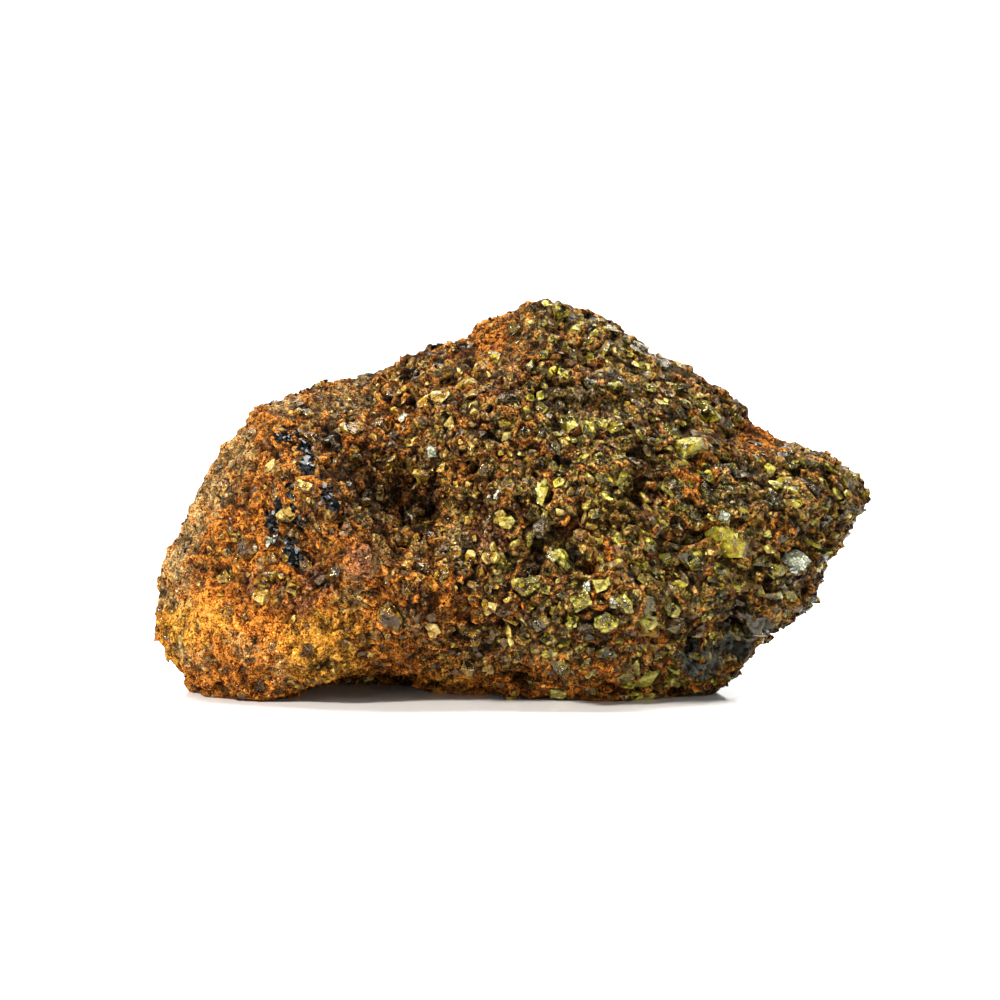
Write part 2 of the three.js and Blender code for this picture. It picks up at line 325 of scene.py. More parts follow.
# Broad hollows and swellings: x, height as seen, radius, and how far they are raised in mm
FORMS = [
    (-46, 62, 4.5, -2.0),
    (-40, 55, 5.5, -2.8),
    (-33, 49, 6, -3.0),
    (-24, 44.5, 6, -2.8),
    (-58, 62, 4, 1.0),
    (-50, 53.5, 4, 1.6),
    (-44.5, 45, 4, 1.6),
    (-39, 37, 4, 1.8),
    (-37.5, 31, 4.5, 3.0),
    (-27, 27.5, 5, 1.8),
    (-26, 35.5, 3.5, -1.8),
    (-17, 26, 4, -1.2),
    (-45, 27, 3.5, -2.0),
    (-34, 22, 3, -1.6),
    (54, 18, 6, 1.2),
    (-12, 55, 4, -1.5),
]
# Smooth bare iron, slate grey
SLATE = [
    (46, 7.5, 6, 1.0),
    (55, 11, 5, 1.0),
    (62, 16, 5, 0.6),
    (30, 28, 3, 0.7),
]
# The names under which the materials read these patches
PAINTED = {"orange": ORANGE, "ochre": OCHRE, "dusty": DUSTY, "pink": PINK, "dark": DARK_AND_SHADED, "slate": SLATE}
# Open sockets: x, height as seen, radius
PITS = [
    (-10, 83.5, 2.4),
    (43.5, 12, 2.6),
    (39, 12.5, 2.0),
    (-72.5, 29, 2.4),
    (17.5, 30, 2.2),
    (54, 63, 2.4),
    (60, 71, 2),
    (-14, 54, 2),
    (26, 41, 2.3),
    (0, 60, 1.8),
    (30, 50, 2),
    (-24, 71, 1.8),
]
# The one broad cleavage face
CLEAVAGE = {
    "x": 51.5,
    "seen": 36.5,
    "wide": 5.4,
    "high": 3.8,
    "clear": 5.0,
    "turn": math.radians(-32),
    "tone": 0.43,
    "corners": 7,
}
CLEAVAGE_SUNK = 0.3 * MM  # how far the body is lowered under it
CLEAVAGE_REACH = 5 * MM  # how far from its plane the body is drawn flat


def colour(code):
    """A colour from its hexadecimal code, in the linear values that shaders work in."""
    parts = [int(code[i : i + 2], 16) / 255 for i in (1, 3, 5)]
    linear = [p / 12.92 if p <= 0.04045 else ((p + 0.055) / 1.055) ** 2.4 for p in parts]
    return (*linear, 1.0)


# Rust, iron and olivine colours, and the painted shade laid over them
WARM = (1.0, 0.86, 0.62, 1)  # what shines off rust and olivine
# dark rust, also laid as painted shade at the feet of crystals and crumbs and in the grooves between the
# body's cells
DARK_RUST_AND_SHADE = colour("#120903")
SLATE_IRON = colour("#565A54")
DIM_AND_SHADE = (0.16, 0.15, 0.15, 1)  # painted shade: what is left of the colour in crevices, pits, hollows and the gaps around crystals
PAINTED_SHADE = (0.07, 0.05, 0.04, 1)  # and in crevices
RUST_TONES = [
    (0.2, "#120602"),
    (0.33, "#341806"),
    (0.45, "#5C2E0C"),
    (0.57, "#7E4816"),
    (0.68, "#9A6324"),
    (0.82, "#BC8C44"),
]
ORANGE_TONES = [
    (0.2, "#351504"),
    (0.34, "#7C3A0C"),
    (0.47, "#B4611A"),
    (0.6, "#D27A1A"),
    (0.8, "#E4A044"),
]
OCHRE_TONES = [
    (0.2, "#5A350C"),
    (0.36, "#AE701C"),
    (0.52, "#DF9A20"),
    (0.8, "#F0C060"),
]
WEB_TONES = [
    (0.28, "#3E1806"),
    (0.48, "#984A12"),
    (0.7, "#CC8C38"),
]
DUST_TONES = [
    (0.25, "#3E3018"),
    (0.42, "#84703E"),
    (0.58, "#B09A62"),
    (0.8, "#D6C898"),
]
PINK_TONES = [
    (0.25, "#2E120A"),
    (0.42, "#7A4228"),
    (0.58, "#A87050"),
    (0.8, "#CFA080"),
]
GRIT_TONES = [
    (0.2, "#140A02"),
    (0.34, "#432C06"),
    (0.46, "#755A12"),
    (0.58, "#9C8422"),
    (0.7, "#BFA848"),
    (0.85, "#E6D490"),
]
OLIVINE_TONES = [
    (0.0, "#0C0C04"),
    (0.18, "#262408"),
    (0.34, "#4E480E"),
    (0.48, "#7A6F16"),
    (0.6, "#9A8C1C"),
    (0.73, "#ACA020"),
    (0.87, "#C2B83A"),
    (1.0, "#DCD672"),
]
AMBER_TONES = [
    (0.0, "#140802"),
    (0.18, "#3A1F07"),
    (0.34, "#65420C"),
    (0.48, "#8C6414"),
    (0.6, "#AA8222"),
    (0.73, "#BC942A"),
    (0.87, "#CCAC46"),
    (1.0, "#E4CC7C"),
]
PALE_TONES = [
    (0.15, "#24281A"),
    (0.4, "#6E7458"),
    (0.6, "#A4AA8E"),
    (0.8, "#DCE0CC"),
]
FILM_TONES = [
    (0.3, "#2A1004"),
    (0.45, "#74340A"),
    (0.58, "#B06818"),
    (0.75, "#D09838"),
]
# Light that passes through clear olivine: what colour is left, and how fast the rest is lost in each metre
CLEAR_TINT = (0.82, 0.74, 0.2, 1)
CLEAR_LOSS = 260
OLIVINE_IOR = 1.67


# Shader building

class Tree:
    """One material's nodes."""

    def __init__(self, name):
        self.material = bpy.data.materials.new(name)
        self.material.use_nodes = True
        self.tree = self.material.node_tree
        self.tree.nodes.clear()

    def node(self, kind, settings=None, inputs=None, out=0):
        """Adds a node with its settings and the values or links of its sockets. Gives one of its outputs."""
        made = self.tree.nodes.new("ShaderNode" + kind)
        for name, value in (settings or {}).items():
            if name == "stops":
                set_stops(made.color_ramp, value)
            else:
                setattr(made, name, value)
        for name, value in (inputs or {}).items():
            socket = made.inputs[name]
            if isinstance(value, Socket):
                self.tree.links.new(value.socket, socket)
            else:
                socket.default_value = value
        return Socket(self, made.outputs[out])

    def mix(self, share, first, second, blend="MIX"):
        """Two colours mixed by a share."""
        settings = {"data_type": "RGBA", "blend_type": blend}
        return self.node("Mix", settings, {0: share, 6: first, 7: second}, out=2)

    def ramp(self, value, stops):
        return self.node("ValToRGB", {"stops": stops}, {"Fac": value})

    def step(self, value, low, high):
        """Goes smoothly from 0 at low to 1 at high."""
        settings = {"interpolation_type": "SMOOTHSTEP"}
        return self.node("MapRange", settings, {"Value": value, "From Min": low, "From Max": high})

    def attribute(self, name):
        return self.node("Attribute", {"attribute_name": name}, out=2)

    def noise(self, wave, detail=4.0, rough=0.55, shift=0.0):
        """Noise from 0 to 1 with features as wide as wave."""
        place = self.node("TexCoord", out=3)
        moved = self.node("VectorMath", {"operation": "ADD"}, {0: place, 1: (shift, shift, shift)})
        inputs = {"Vector": moved, "Scale": 1 / wave, "Detail": detail, "Roughness": rough}
        return self.node("TexNoise", inputs=inputs)

    def bent_place(self, wave, warp):
        """Places on the piece, moved about by warp."""
        place = self.node("TexCoord", out=3)
        bent = self.node("TexNoise", inputs={"Vector": place, "Scale": 1 / wave}, out=1)
        shift = self.node("VectorMath", {"operation": "SCALE"}, {0: bent, "Scale": warp})
        return self.node("VectorMath", {"operation": "ADD"}, {0: place, 1: shift})

    def cells(self, wave, warp, slope):
        """Broken cells as wide as wave: a height that tilts in each, two tones, and how far the edge is."""
        moved = self.bent_place(wave, warp)
        inputs = {"Vector": moved, "Scale": 1 / wave}
        own = self.node("TexVoronoi", inputs=inputs, out=1)
        local = self.node("VectorMath", {"operation": "SUBTRACT"}, {0: moved, 1: own.beside(2)})
        tilt = self.node("VectorMath", {"operation": "SUBTRACT"}, {0: own, 1: (0.5, 0.5, 0.5)})
        height = self.node("VectorMath", {"operation": "DOT_PRODUCT"}, {0: tilt, 1: local}, out=1)
        parts = self.node("SeparateColor", inputs={0: own})
        edge = self.node("TexVoronoi", {"feature": "DISTANCE_TO_EDGE"}, inputs)
        return height * (2 * slope), parts, parts.beside(1), edge

    def bump(self, height, distance, strength=1.0):
        return self.node("Bump", inputs={"Height": height, "Distance": distance, "Strength": strength})

    def finish(self, inputs, volume=None):
        """Ends the material in one Principled shader, with a volume inside where one is given."""
        shader = self.node("BsdfPrincipled", inputs=inputs)
        ends = {"Surface": shader}
        if volume is not None:
            ends["Volume"] = volume
        out = self.tree.nodes.new("ShaderNodeOutputMaterial")
        for name, value in ends.items():
            self.tree.links.new(value.socket, out.inputs[name])
        return self.material


class Socket:
    """A node's output. Sums, differences and products of it add their Math nodes."""

    def __init__(self, tree, socket):
        self.tree = tree
        self.socket = socket

    def beside(self, out):
        """Another output of the same node."""
        return Socket(self.tree, self.socket.node.outputs[out])

    def _math(self, operation, first, second):
        return self.tree.node("Math", {"operation": operation}, {0: first, 1: second})

    def __add__(self, other):
        return self._math("ADD", self, other)

    def __radd__(self, other):
        return self._math("ADD", other, self)

    def __sub__(self, other):
        return self._math("SUBTRACT", self, other)

    def __rsub__(self, other):
        return self._math("SUBTRACT", other, self)

    def __mul__(self, other):
        return self._math("MULTIPLY", self, other)

    def __rmul__(self, other):
        return self._math("MULTIPLY", other, self)


def set_stops(ramp, stops):
    """Sets a colour ramp's stops, each a place and a hexadecimal code."""
    while len(ramp.elements) < len(stops):
        ramp.elements.new(0.5)
    for element, (place, code) in zip(ramp.elements, stops):
        element.position = place
        element.color = colour(code)


# Small helpers for meshes

def deselect():
    bpy.ops.object.select_all(action="DESELECT")


def select(obj):
    deselect()
    obj.select_set(True)
    bpy.context.view_layer.objects.active = obj


def points_of(obj):
    """The mesh's vertices as rows of x, y, z."""
    rows = np.empty(len(obj.data.vertices) * 3)
    obj.data.vertices.foreach_get("co", rows)
    return rows.reshape(-1, 3)


def normals_of(obj):
    rows = np.empty(len(obj.data.vertices) * 3)
    obj.data.vertex_normals.foreach_get("vector", rows)
    return rows.reshape(-1, 3)


def move_points(obj, points):
    obj.data.vertices.foreach_set("co", points.reshape(-1))
    obj.data.update()


def give(obj, name, values, of="POINT"):
    """Keeps one number for each vertex or face under a name that a material can read."""
    obj.data.attributes.new(name, "FLOAT", of).data.foreach_set("value", values.astype(np.float32))


def smooth_step(values, low, high):
    t = np.clip((values - low) / (high - low), 0, 1)
    return t * t * (3 - 2 * t)


def fractal(points, wave, octaves=3, shift=0.0):
    """Perlin noise of several octaves at each point, about -1 to 1."""
    rows = points / wave + shift
    return np.array([noise.fractal(row, 0.9, 2.1, octaves) for row in rows])


def ridges(points, wave, octaves=3, shift=0.0):
    """Noise with sharp crests, about -1 to 1."""
    return 1 - 2.5 * np.abs(fractal(points, wave, octaves, shift))


def inside_box(points):
    """Points kept inside the stone's own box."""
    return np.clip(points, np.array(CAD_BOX[0]), np.array(CAD_BOX[1]))


def seen_heights(points):
    """How high the view shows each point."""
    return points @ np.array(SEEN_UP)


def patches(points, spots, join=np.maximum):
    """The share that a list of round patches gives each point of the best face."""
    seen = seen_heights(points)
    share = np.zeros(len(points))
    for x, height, radius, most in spots:
        away = ((points[:, 0] - x * MM) ** 2 + (seen - height * MM) ** 2) / (radius * MM) ** 2
        share = join(share, most * np.exp(-away))
    facing = 1 - smooth_step(points[:, 1], *BACK)
    return share * facing


def edge_on(normals):
    """1 where the view only grazes the stone, where loose things would stand out from its outline."""
    return 1 - smooth_step(np.abs(normals @ np.array(SEEN_ALONG)), 0.25, 0.5)


def along_flow(points):
    """Points drawn together along the flow, so that noise read there is drawn out along it."""
    share = smooth_step(points[:, 0], *FLOWING)
    return points - np.outer(0.6 * share * (points @ FLOW), FLOW)


# The rusted body

def smooth_body():
    """A fine copy of the solid, with its facets evened out."""
    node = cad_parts["meteorite"]
    select(node)
    bpy.ops.object.duplicate()
    body = bpy.context.view_layer.objects.active
    body.name = body.data.name = "rusted_body"
    bpy.ops.object.mode_set(mode="EDIT")
    bpy.ops.mesh.select_all(action="SELECT")
    bpy.ops.mesh.remove_doubles(threshold=1e-6)
    bpy.ops.object.mode_set(mode="OBJECT")
    body.data.remesh_voxel_size = VOXEL
    bpy.ops.object.voxel_remesh()
    even = body.modifiers.new("even", "SMOOTH")
    even.factor = 0.5
    even.iterations = SMOOTH_STEPS
    bpy.ops.object.modifier_apply(modifier=even.name)
    bpy.ops.object.shade_smooth()
    for name in [a.name for a in body.data.attributes if a.name.startswith("sharp")]:
        body.data.attributes.remove(body.data.attributes[name])
    return body


def thin_out(body):
    """Takes triangles away where the surface needs them least."""
    triangles = sum(len(p.vertices) - 2 for p in body.data.polygons)
    thinner = body.modifiers.new("thinner", "DECIMATE")
    thinner.ratio = BODY_TRIANGLES / triangles
    select(body)
    bpy.ops.object.modifier_apply(modifier=thinner.name)
    move_points(body, inside_box(points_of(body)))


def crust_share(points):
    """How far rust crust covers the crystals at each point: 0 is bare crystals and 1 is crust."""
    front = patches(points, CRUSTS)
    back = smooth_step(points[:, 1], *BACK)
    drift = smooth_step(fractal(points, 34 * MM, 2, 3.1), 0.05, 0.45)
    ragged = fractal(points, 9 * MM, 3, 1.7)
    return np.clip(np.maximum(front, 0.85 * drift * back) + 0.22 * ragged, 0, 1)


def spots_by_view(tree, marks):
    """The place and the normal on the body of each mark of the best face."""
    found = []
    for x, seen, *rest in marks:
        start = Vector((x * MM, 0, 0)) + SEEN_UP * (seen * MM) - SEEN_ALONG * 0.4
        place, normal, _, _ = tree.ray_cast(start, SEEN_ALONG)
        if place is not None:
            found.append((np.array(place), np.array(normal), rest))
    return found


def scatter_grains(points, normals, crust, crevice, taken, rng):
    """Chooses places for the crystals, the largest first: rows of place, normal, radius, kind, point."""
    tree = kdtree.KDTree(len(points))
    for i, point in enumerate(points):
        tree.insert(point, i)
    tree.balance()
    order = rng.permutation(len(points))
    spots = list(taken)
    barred = (points[:, 2] < 0.6 * MM) | (crevice > 0.35)
    for kind, low, high, count, packing in GRAIN_SIZES:
        free = ~barred
        for spot in spots:
            for _, i, _ in tree.find_range(spot[0], (spot[2] + low * MM) * packing):
                free[i] = False
        thinning, least = (0.75, 0.2) if kind == "rust" else (1.12, 0.02)
        chance = np.clip(1.04 - thinning * crust, least, 1)
        draws = rng.random(len(points))
        left = count
        for i in order:
            if left == 0:
                break
            if not free[i] or draws[i] > chance[i]:
                continue
            radius = rng.uniform(low, high) * MM
            spots.append((points[i], normals[i], radius, kind, i))
            left -= 1
            for _, j, _ in tree.find_range(points[i], (radius + low * MM) * packing):
                free[j] = False
    return spots[len(taken):]


def broad_forms(body):
    """Raises lumps on the body and cuts winding crevices. Gives how deep in a crevice each point is."""
    points = points_of(body)
    resting = smooth_step(points[:, 2], 0.2 * MM, REST_BAND)
    lumps = fractal(points, 12 * MM, 3, 6.1)
    flowing = along_flow(points)
    long_cracks = 1 - smooth_step(np.abs(fractal(flowing, 15 * MM, 3, 4.4)), 0.02, 0.1)
    short_cracks = 1 - smooth_step(np.abs(fractal(flowing, 7 * MM, 2, 8.2)), 0.04, 0.16)
    broken = smooth_step(fractal(points, 10 * MM, 2, 2.9), -0.1, 0.25)
    crust = crust_share(points)
    normals = normals_of(body)
    calm = 1 - 0.7 * edge_on(normals)
    crevice = np.maximum(long_cracks * broken, short_cracks * (1 - broken)) * (1 - 0.8 * crust) * calm
    lift = BROAD_RELIEF * (lumps - 0.25) * (1 - 0.4 * crust) * calm - CREVICE_DEPTH * crevice
    lift += MM * patches(points, FORMS, np.add)
    move_points(body, inside_box(points + normals * (lift * resting)[:, None]))
    return crevice * resting


def shape_body(body, crust, crevice, grains, pits, cleavage):
    """Makes a gap around each crystal, raises webs of rust between them, and roughens the rest."""
    points = points_of(body)
    near, gap, under = edges_of_grains(points, grains)
    bare = 1 - crust
    patchy = smooth_step(fractal(along_flow(points), 7 * MM, 2, 5.3), -0.25, 0.3)
    beside = smooth_step(near, 0.1 * MM, 0.5 * MM)
    web = (1 - smooth_step(gap, 0.3 * MM, 1.4 * MM)) * beside * (0.4 + 0.6 * patchy)
    covered = 1 - smooth_step(near, -0.7 * MM, -0.2 * MM)
    rim = smooth_step(near, -0.4 * MM, -0.1 * MM) * (1 - smooth_step(near, 0.0, 0.35 * MM))
    hollow = smooth_step(fractal(points, 3.4 * MM, 2, 7.7), 0.12, 0.32) * beside * (1 - web)
    grit = fractal(points, 1.4 * MM, 2, 9.7)
    fine = 0.35 * fractal(points, 2.6 * MM, 3, 9.7) + 0.45 * grit + 0.25 * ridges(points, 3.6 * MM, 3, 3.3)
    lift = WEB_HEIGHT * web - RIM_DEPTH * rim * (1 - 0.4 * crust)
    lift -= covered * under * UNDER_CRYSTALS
    lift += (0.75 - 0.3 * crust) * MM * fine
    lift += MIDDLE_RELIEF * fractal(points, 6.5 * MM, 3, 2.4)
    lift -= (HOLLOW_IN_CRUST * crust + HOLLOW_WHERE_BARE * bare) * hollow
    pit_share = np.zeros(len(points))
    for place, _, radius in pits:
        away = np.linalg.norm(points - place, axis=1) / radius
        dip = 1 - smooth_step(away + 0.5 * fractal(points, 3 * MM, 2, 1.1), 0.4, 1.2)
        pit_share = np.maximum(pit_share, dip)
        lift -= dip * radius * PIT_DEPTH
    lift *= smooth_step(points[:, 2], 0.2 * MM, REST_BAND)
    shaped, flat = flatten(points + normals_of(body) * lift[:, None], *cleavage)
    move_points(body, inside_box(shaped))
    # The materials read these: the crust, the webs, and where they paint shade: in hollows, pits and
    # crevices, in the gap around each crystal and under it, and by the height of the fine relief
    deep = np.maximum(hollow * (0.4 + 0.6 * bare), np.maximum(pit_share, smooth_step(crevice, 0.12, 0.5)))
    give(body, "crust", crust)
    give(body, "web", web)
    give(body, "rim", np.maximum(rim, covered))
    give(body, "deep", np.clip(deep, 0, 1) * (1 - flat))
    give(body, "worn", np.clip(0.5 + 0.8 * fine, 0, 1))
    paint(body, points)


def cleavage_frame(normal):
    """The directions along, across and out of the broad cleavage face."""
    facing = normal / 2 - np.array(SEEN_ALONG) / 2
    facing /= np.linalg.norm(facing)
    side = np.cross((0, 0, 1), facing)
    side /= np.linalg.norm(side)
    up = np.cross(facing, side)
    cos, sin = math.cos(CLEAVAGE["turn"]), math.sin(CLEAVAGE["turn"])
    return side * cos + up * sin, up * cos - side * sin, facing


def flatten(points, middle, normal):
    """Draws the body flat under the broad cleavage face. Gives the new points and how far each is drawn."""
    along, across, facing = cleavage_frame(normal)
    local = points - middle
    reach = ((local @ along / CLEAVAGE["wide"]) ** 4 + (local @ across / CLEAVAGE["high"]) ** 4) ** 0.25 / MM
    share = (1 - smooth_step(reach, 0.9, 1.25)) * (np.abs(local @ facing) < CLEAVAGE_REACH)
    return points - np.outer(share * (local @ facing + CLEAVAGE_SUNK), facing), share


def cleavage_face(middle, normal, rng):
    """The broad cleavage face as the flat top of a sunk crystal, as a heap takes it."""
    corners = CLEAVAGE["corners"]
    bpy.ops.mesh.primitive_cylinder_add(vertices=corners, radius=1, depth=1)
    points, faces = take_apart(bpy.context.view_layer.objects.active)
    top = points[:, 2] > 0
    ragged = rng.uniform(0.82, 1.2, corners)
    turn = np.arctan2(points[:, 1], points[:, 0]) / (2 * np.pi)
    size = ragged[np.round(turn * corners).astype(int) % corners] * np.where(top, 1.0, 1.15)
    along, across, facing = cleavage_frame(normal)
    local = np.column_stack([points[:, 0] * size * CLEAVAGE["wide"], points[:, 1] * size * CLEAVAGE["high"],
                             np.where(top, 0.6, -0.9)]) * MM
    outer = np.ones((len(points), 3))
    placed = middle + local @ np.array([along, across, facing])
    return placed, faces, CLEAVAGE["tone"], np.where(top, 0.0, 1.0), outer


def edges_of_grains(points, grains):
    """How far each point is from the nearest crystal, how much further from the next, and that radius."""
    tree = kdtree.KDTree(len(grains))
    for i, grain in enumerate(grains):
        tree.insert(grain[0], i)
    tree.balance()
    radii = np.array([grain[2] for grain in grains])
    rows = np.empty((len(points), 3))
    for k, point in enumerate(points):
        edges = sorted((distance - radii[i], radii[i]) for _, i, distance in tree.find_n(point, 5))
        rows[k] = (edges[0][0], edges[1][0] - edges[0][0], edges[0][1])
    return rows.T


def paint(obj, points):
    """Keeps the patches of colour and of painted shade for the materials."""
    for name, spots in PAINTED.items():
        give(obj, name, patches(points, spots))
    give(obj, "green", smooth_step(points[:, 0] + 12 * MM * fractal(points, 30 * MM, 2, 4.9), *GREENER))


def rust_colours(tree, base, shade, orange_share):
    """Lays orange, ochre, pink and dusty rust over a colour, as the patches kept on the piece say."""
    broad = tree.noise(9 * MM, 3, shift=0.3)
    middle = tree.noise(2.2 * MM, 4, 0.6, shift=0.7)
    small = tree.noise(1.1 * MM, 3, 0.6, shift=4.1)
    orange = tree.step(orange_share + (middle - 0.5) * 1.6, 0.35, 0.6)
    base = tree.mix(orange * 0.92, base, tree.ramp(shade, ORANGE_TONES))
    ochre = tree.step(tree.attribute("ochre") + (small - 0.5) * 1.2 + (middle - 0.5) * 1.4, 0.35, 0.55)
    base = tree.mix(ochre * 0.9, base, tree.ramp(shade, OCHRE_TONES))
    pink = tree.step(tree.attribute("pink") + (small - 0.5) * 1.4 + (middle - 0.5) * 1.4, 0.35, 0.6)
    base = tree.mix(pink * 0.75, base, tree.ramp(shade, PINK_TONES))
    dusty = tree.step(tree.attribute("dusty") + (small - 0.5) * 1.4 + (broad - 0.5) * 1.4, 0.35, 0.6)
    return tree.mix(dusty * 0.8, base, tree.ramp(shade, DUST_TONES)), orange


def darkened_and_shaded(tree, base):
    """The colour, darker in the dark stretches: painted shade, and in part darker rust."""
    patchy = tree.noise(3.5 * MM, 4, 0.6, shift=6.3)
    share = tree.step(tree.attribute("dark") + (patchy - 0.5) * 1.8, 0.3, 0.7)
    return tree.mix(share * 0.85, base, DIM_AND_SHADE, "MULTIPLY")


def rust(name):
    """The body: grit and broken crystals in rust from dark brown over orange to ochre."""
    tree = Tree(name)
    broad = tree.noise(9 * MM, 3, shift=0.3)
    middle = tree.noise(2.2 * MM, 4, 0.6, shift=0.7)
    fine = tree.noise(0.5 * MM, 3, 0.65)
    micro = tree.noise(0.22 * MM, 2, 0.7, shift=1.3)
    crust = tree.attribute("crust")
    bare = 1 - crust
    block, block_tone, block_kind, block_edge = tree.cells(2.6 * MM, 1.6 * MM, 0.55)
    chip, chip_tone, chip_kind, chip_edge = tree.cells(0.95 * MM, 0.5 * MM, 0.7)
    worn = tree.attribute("worn")
    grain = (fine - 0.5) * 1.7 + (micro - 0.5) * 1.9
    # painted light and shade: lighter on the crests of the fine relief, darker in its dips
    shade = chip_tone * 0.3 + grain + (middle - 0.5) * 0.5 + worn * 0.3 + 0.15
    gritty = shade + (block_tone - 0.5) * 0.45 * bare
    green = tree.step(block_kind + (broad - 0.5) * 1.2 + tree.attribute("green") * 0.5, 0.5, 0.62)
    base = tree.mix(green * bare, tree.ramp(gritty, RUST_TONES), tree.ramp(gritty, GRIT_TONES))
    orange_share = tree.attribute("orange") + crust * 0.7 + (broad - 0.5) * 1.6 + (chip_kind - 0.5) * 0.5
    base, orange = rust_colours(tree, base, shade, orange_share)
    # painted shade in the grooves between the cells
    base = tree.mix(tree.step(0 - block_edge, -0.12, -0.03) * bare * 0.75, base, DARK_RUST_AND_SHADE)
    base = tree.mix(tree.step(0 - chip_edge, -0.16, -0.02) * 0.35, base, DARK_RUST_AND_SHADE)
    base = tree.mix(tree.attribute("web") * 0.7, base, tree.ramp(shade, WEB_TONES))
    slate = tree.step(tree.attribute("slate") + (middle - 0.5) * 0.5, 0.4, 0.6)
    base = tree.mix(slate, base, SLATE_IRON)
    # painted shade in the gap around each crystal and under it
    base = tree.mix(tree.attribute("rim") * 0.9, base, PAINTED_SHADE, "MULTIPLY")
    # painted shade of small pits: near-black spots with no hollow under them
    painted_pore_shade = tree.step(tree.noise(1.3 * MM, 2, shift=9.4) + bare * 0.045, 0.605, 0.65)
    base = tree.mix(painted_pore_shade * 0.92, base, PAINTED_SHADE, "MULTIPLY")
    # painted shade in crevices, pits and hollows, over the dark stretches
    base = tree.mix(tree.attribute("deep") * 0.92, darkened_and_shaded(tree, base), PAINTED_SHADE, "MULTIPLY")
    glassy = green * bare * (1 - orange)
    facets = (block * 0.8 + chip * 1.0) * (bare * 0.75 + 0.25)
    relief = tree.bump(facets + (fine - 0.5) * (0.5 * MM) + (micro - 0.5) * (0.16 * MM), 1.0)
    inputs = {
        "Base Color": base,
        "Roughness": 0.9 - glassy * 0.6,
        "Normal": relief,
        "Specular IOR Level": 0.14,
        "Specular Tint": WARM,
    }
    return tree.finish(inputs)


def loose_rust(name):
    """Crumbs and walls of rust, each with a tone of its own."""
    tree = Tree(name)
    middle = tree.noise(2.2 * MM, 4, 0.6, shift=0.7)
    fine = tree.noise(0.5 * MM, 3, 0.65)
    foot = tree.attribute("foot")
    tone = tree.attribute("tone")
    # darker towards the foot: painted shade
    shade = tone * 0.35 + (middle - 0.5) * 0.6 + (fine - 0.5) * 0.8 + 0.36 - foot * 0.25
    base = tree.ramp(shade, RUST_TONES)
    orange_share = tree.attribute("orange") + tree.attribute("crust") * 0.6 + (tone - 0.5) * 0.6
    base, _ = rust_colours(tree, base, shade, orange_share)
    # painted shade at the foot
    base = tree.mix(foot * 0.7, darkened_and_shaded(tree, base), DARK_RUST_AND_SHADE)
    relief = tree.bump(fine, 0.4 * MM, 1.0)
    inputs = {"Base Color": base, "Roughness": 0.9, "Normal": relief, "Specular IOR Level": 0.12}
    return tree.finish(inputs)


# Small shapes

def take_apart(obj):
    """The points and the triangles of an object that is then deleted."""
    select(obj)
    bpy.ops.object.mode_set(mode="EDIT")
    bpy.ops.mesh.select_all(action="SELECT")
    bpy.ops.mesh.quads_convert_to_tris()
    bpy.ops.mesh.normals_make_consistent(inside=False)
    bpy.ops.object.mode_set(mode="OBJECT")
    points = points_of(obj)
    faces = np.array([tuple(p.vertices) for p in obj.data.polygons])
    mesh = obj.data
    bpy.data.objects.remove(obj)
    bpy.data.meshes.remove(mesh)
    return points, faces


def flat_sides(points, faces):
    """Numbers the flat sides of a shape, one number for each triangle."""
    across = np.cross(points[faces[:, 1]] - points[faces[:, 0]], points[faces[:, 2]] - points[faces[:, 0]])
    across /= np.linalg.norm(across, axis=1)[:, None] + 1e-12
    return np.unique(np.round(across, 1), axis=0, return_inverse=True)[1].reshape(-1)


def facetted_shape(rng, cuts, bevel=0.0):
    """A block cut by flat faces all around, about one unit in radius."""
    bpy.ops.mesh.primitive_cube_add(size=1.9)
    block = bpy.context.view_layer.objects.active
    bpy.ops.object.mode_set(mode="EDIT")
    for _ in range(cuts):
        normal = rng.normal(size=3)
        normal /= np.linalg.norm(normal)
        bpy.ops.mesh.select_all(action="SELECT")
        place = tuple(normal * rng.uniform(0.5, 0.95))
        bpy.ops.mesh.bisect(plane_co=place, plane_no=tuple(normal), use_fill=True, clear_outer=True)
    bpy.ops.mesh.select_all(action="SELECT")
    bpy.ops.mesh.remove_doubles(threshold=0.09)
    if bevel:
        bpy.ops.mesh.bevel(offset=bevel, segments=1, affect="EDGES")
    bpy.ops.object.mode_set(mode="OBJECT")
    points, faces = take_apart(block)
    return points / np.linalg.norm(points, axis=1).mean(), faces


def grown_together(rng, blocks, cuts):
    """Several facetted blocks that overlap, as a broken crystal does."""
    all_points = []
    all_faces = []
    count = 0
    for k in range(blocks):
        points, faces = facetted_shape(rng, cuts)
        size = 1.0 if k == 0 else rng.uniform(0.5, 0.8)
        place = np.zeros(3) if k == 0 else rng.normal(scale=0.42, size=3)
        all_points.append(points * size + place)
        all_faces.append(faces + count)
        count += len(points)
    return np.concatenate(all_points) * 0.9, np.concatenate(all_faces)


def rust_lump(rng):
    """A small uneven lump."""
    bpy.ops.mesh.primitive_ico_sphere_add(subdivisions=1, radius=1)
    points, faces = take_apart(bpy.context.view_layer.objects.active)
    return points * rng.uniform(0.6, 1.3, size=(len(points), 1)), faces


